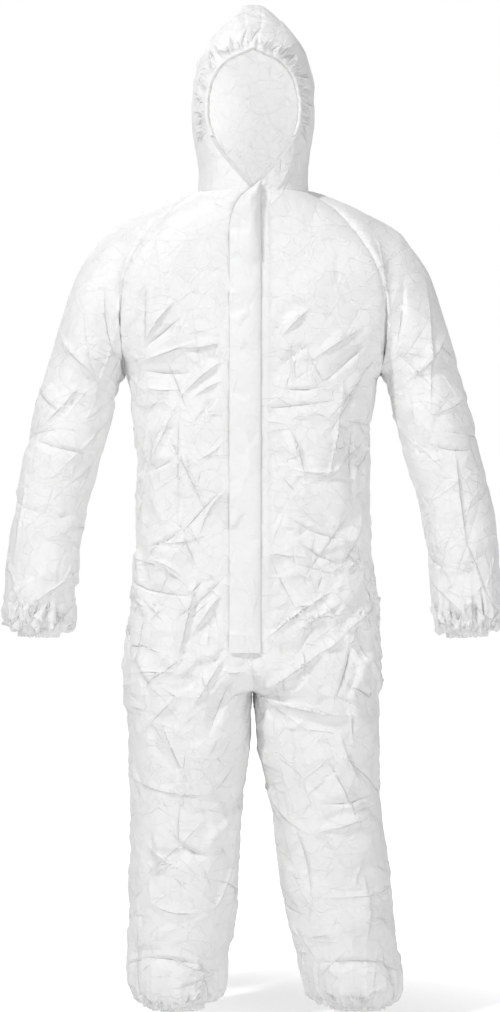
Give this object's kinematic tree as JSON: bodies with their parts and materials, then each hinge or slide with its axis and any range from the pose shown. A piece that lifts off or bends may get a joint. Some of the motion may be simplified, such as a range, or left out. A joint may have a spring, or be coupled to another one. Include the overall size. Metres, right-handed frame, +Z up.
{
  "type": "hooded protective coverall",
  "caption": "Loose white one-piece suit with a three-part hood, raglan sleeves, gathered wrists, ankles and face opening, and a front zip under a flap.",
  "frame": {"origin": "middle of the neck seam, level with its lowest point at the front, where the suit hangs from the wearer's shoulders", "axes": "+Z up the wearer, +X to the wearer's left, the front of the suit faces -Y"},
  "size_m": [0.8804, 0.2762, 1.7755],
  "materials": {
    "laminate": "matt white microporous film on spunbonded fibre, slightly papery",
    "flap": "the same laminate, doubled and stitched",
    "elastic_band": "matt woven elastic",
    "zip_tape": "matt woven tape",
    "zip_coil": "satin moulded coil",
    "zip_metal": "satin white enamel"
  },
  "bodies": {
    "torso": {"right_front_panel": "laminate", "left_front_panel": "laminate", "right_back_panel": "laminate", "left_back_panel": "laminate", "right_sleeve_head": "laminate", "left_sleeve_head": "laminate", "waist_elastic": "elastic_band", "zip_tape_right": "zip_tape", "zip_tape_left": "zip_tape", "zip_coil_right": "zip_coil", "zip_coil_left": "zip_coil", "zip_bottom_stop": "zip_metal", "zip_top_stops": "zip_metal"},
    "slider": {"zip_slider": "zip_metal"},
    "pull_tab": {"zip_pull_tab": "zip_metal"},
    "flap": {"storm_flap": "flap"},
    "hood": {"hood_right_panel": "laminate", "hood_left_panel": "laminate", "hood_crown_panel": "laminate", "face_opening_hem": "laminate", "face_elastic": "elastic_band", "hood_zip_tape_right": "zip_tape", "hood_zip_tape_left": "zip_tape"},
    "right_arm": {"right_sleeve": "laminate", "right_wrist_casing": "laminate", "right_wrist_elastic": "elastic_band"},
    "left_arm": {"left_sleeve": "laminate", "left_wrist_casing": "laminate", "left_wrist_elastic": "elastic_band"},
    "right_leg": {"right_front_leg": "laminate", "right_back_leg": "laminate", "right_ankle_casing": "laminate", "right_ankle_elastic": "elastic_band"},
    "left_leg": {"left_front_leg": "laminate", "left_back_leg": "laminate", "left_ankle_casing": "laminate", "left_ankle_elastic": "elastic_band"}
  },
  "joints": [
    {"name": "zip_slide", "type": "slide", "parent": "torso", "child": "slider", "axis": [0, 0, -1], "range_m": [0, 0.766]},
    {"name": "pull_tab_hinge", "type": "hinge", "parent": "slider", "child": "pull_tab", "pos_m": [0, -0.1233, -0.013], "axis": [-1, 0, 0], "range_deg": [0, 20]},
    {"name": "storm_flap_hinge", "type": "hinge", "parent": "torso", "child": "flap", "pos_m": [0.014, -0.1228, -0.4], "axis": [0, 0, 1], "range_deg": [0, 120]},
    {"name": "hood_fold", "type": "hinge", "parent": "torso", "child": "hood", "pos_m": [0, 0.078, 0.003], "axis": [-1, 0, 0], "range_deg": [0, 100]},
    {"name": "right_shoulder", "type": "hinge", "parent": "torso", "child": "right_arm", "pos_m": [-0.2624, 0, -0.066], "axis": [0, 1, 0], "range_deg": [0, 70]},
    {"name": "left_shoulder", "type": "hinge", "parent": "torso", "child": "left_arm", "pos_m": [0.2624, 0, -0.066], "axis": [0, -1, 0], "range_deg": [0, 70]},
    {"name": "right_hip", "type": "hinge", "parent": "torso", "child": "right_leg", "pos_m": [-0.1122, -0.119, -0.8846], "axis": [-1, 0, 0], "range_deg": [0, 60]},
    {"name": "left_hip", "type": "hinge", "parent": "torso", "child": "left_leg", "pos_m": [0.1122, -0.119, -0.8846], "axis": [-1, 0, 0], "range_deg": [0, 60]}
  ]
}
